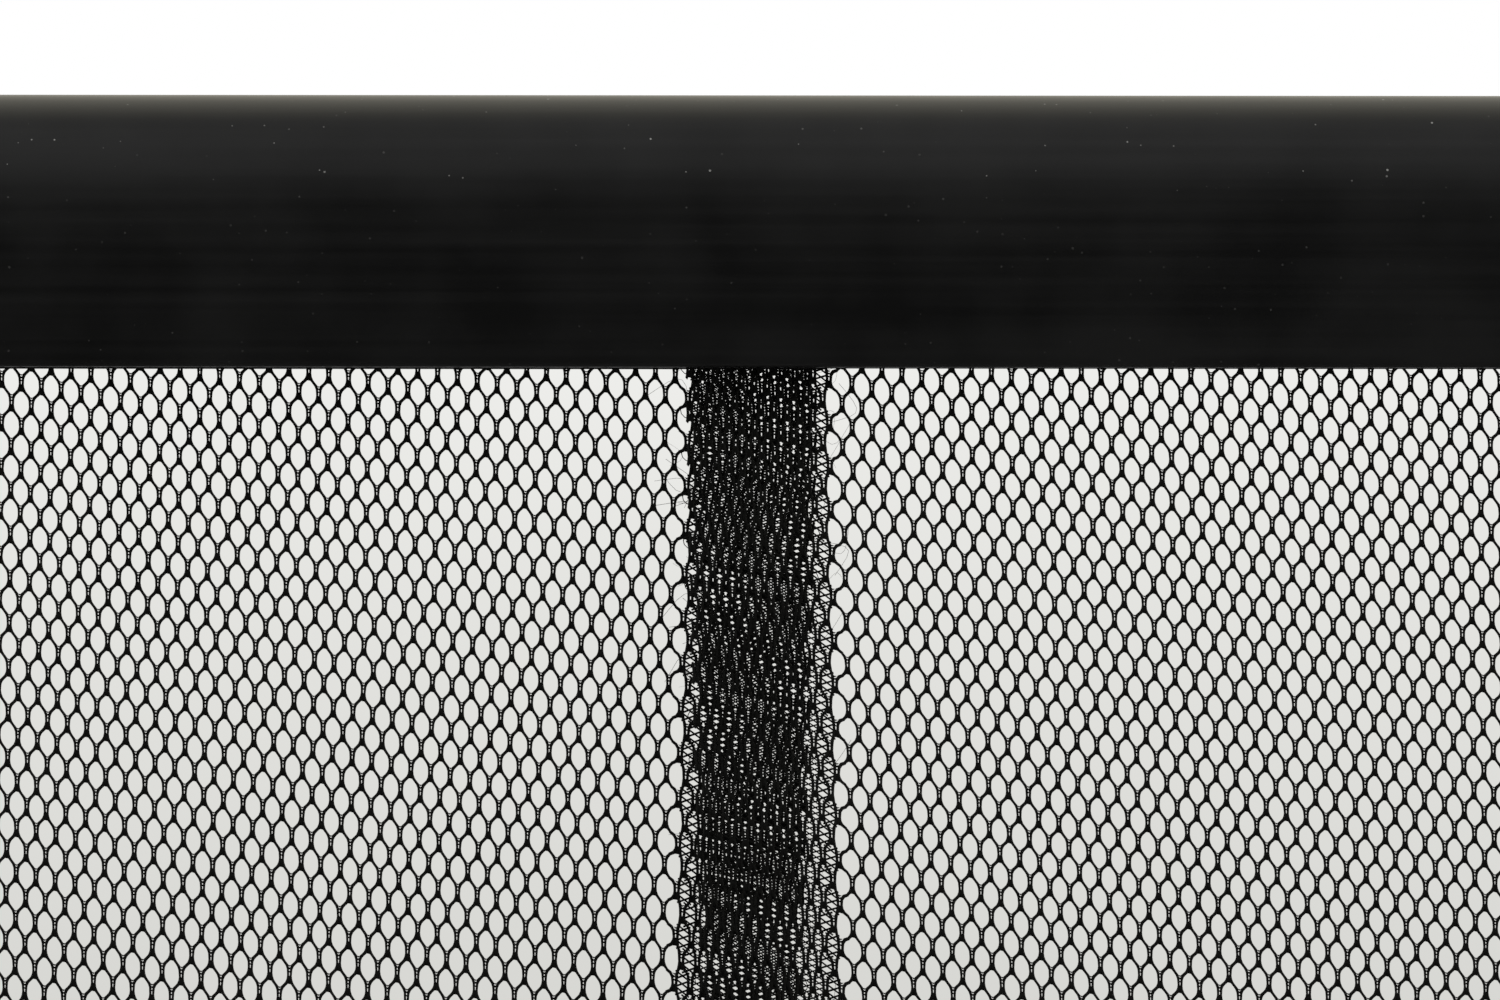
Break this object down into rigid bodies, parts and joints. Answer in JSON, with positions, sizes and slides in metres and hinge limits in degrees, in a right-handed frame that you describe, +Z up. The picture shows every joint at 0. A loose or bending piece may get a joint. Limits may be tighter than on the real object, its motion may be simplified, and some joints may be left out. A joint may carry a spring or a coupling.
{
  "type": "insect door curtain",
  "caption": "Insect door curtain: overlapping weighted net strips hung from a slim black stick-on rail with a curved clip-on cover.",
  "frame": {"origin": "on the wall face of the mounting tape, at mid-length and mid-height of the rail", "axes": "+X along the rail to the right as seen from the front, +Y into the wall, +Z up"},
  "size_m": [1, 0.015, 2.2],
  "materials": {
    "foam_tape": "closed-cell foam tape",
    "rail_metal": "black anodised extrusion",
    "cover_plastic": "black, satin",
    "header_plastic": "plain",
    "net": "black warp-knitted polyester net",
    "weight_steel": "zinc plated"
  },
  "bodies": {
    "root": {"mounting_tape": "foam_tape", "rear_rail": "rail_metal", "front_cover": "cover_plastic", "end_cap_left": "cover_plastic", "end_cap_right": "cover_plastic", "header_bar_1": "header_plastic", "header_bar_2": "header_plastic", "header_bar_3": "header_plastic", "header_bar_4": "header_plastic", "net_strip_1": "net", "net_strip_2": "net", "net_strip_3": "net", "net_strip_4": "net", "weight_bar_1": "weight_steel", "weight_bar_2": "weight_steel", "weight_bar_3": "weight_steel", "weight_bar_4": "weight_steel"}
  },
  "joints": []
}
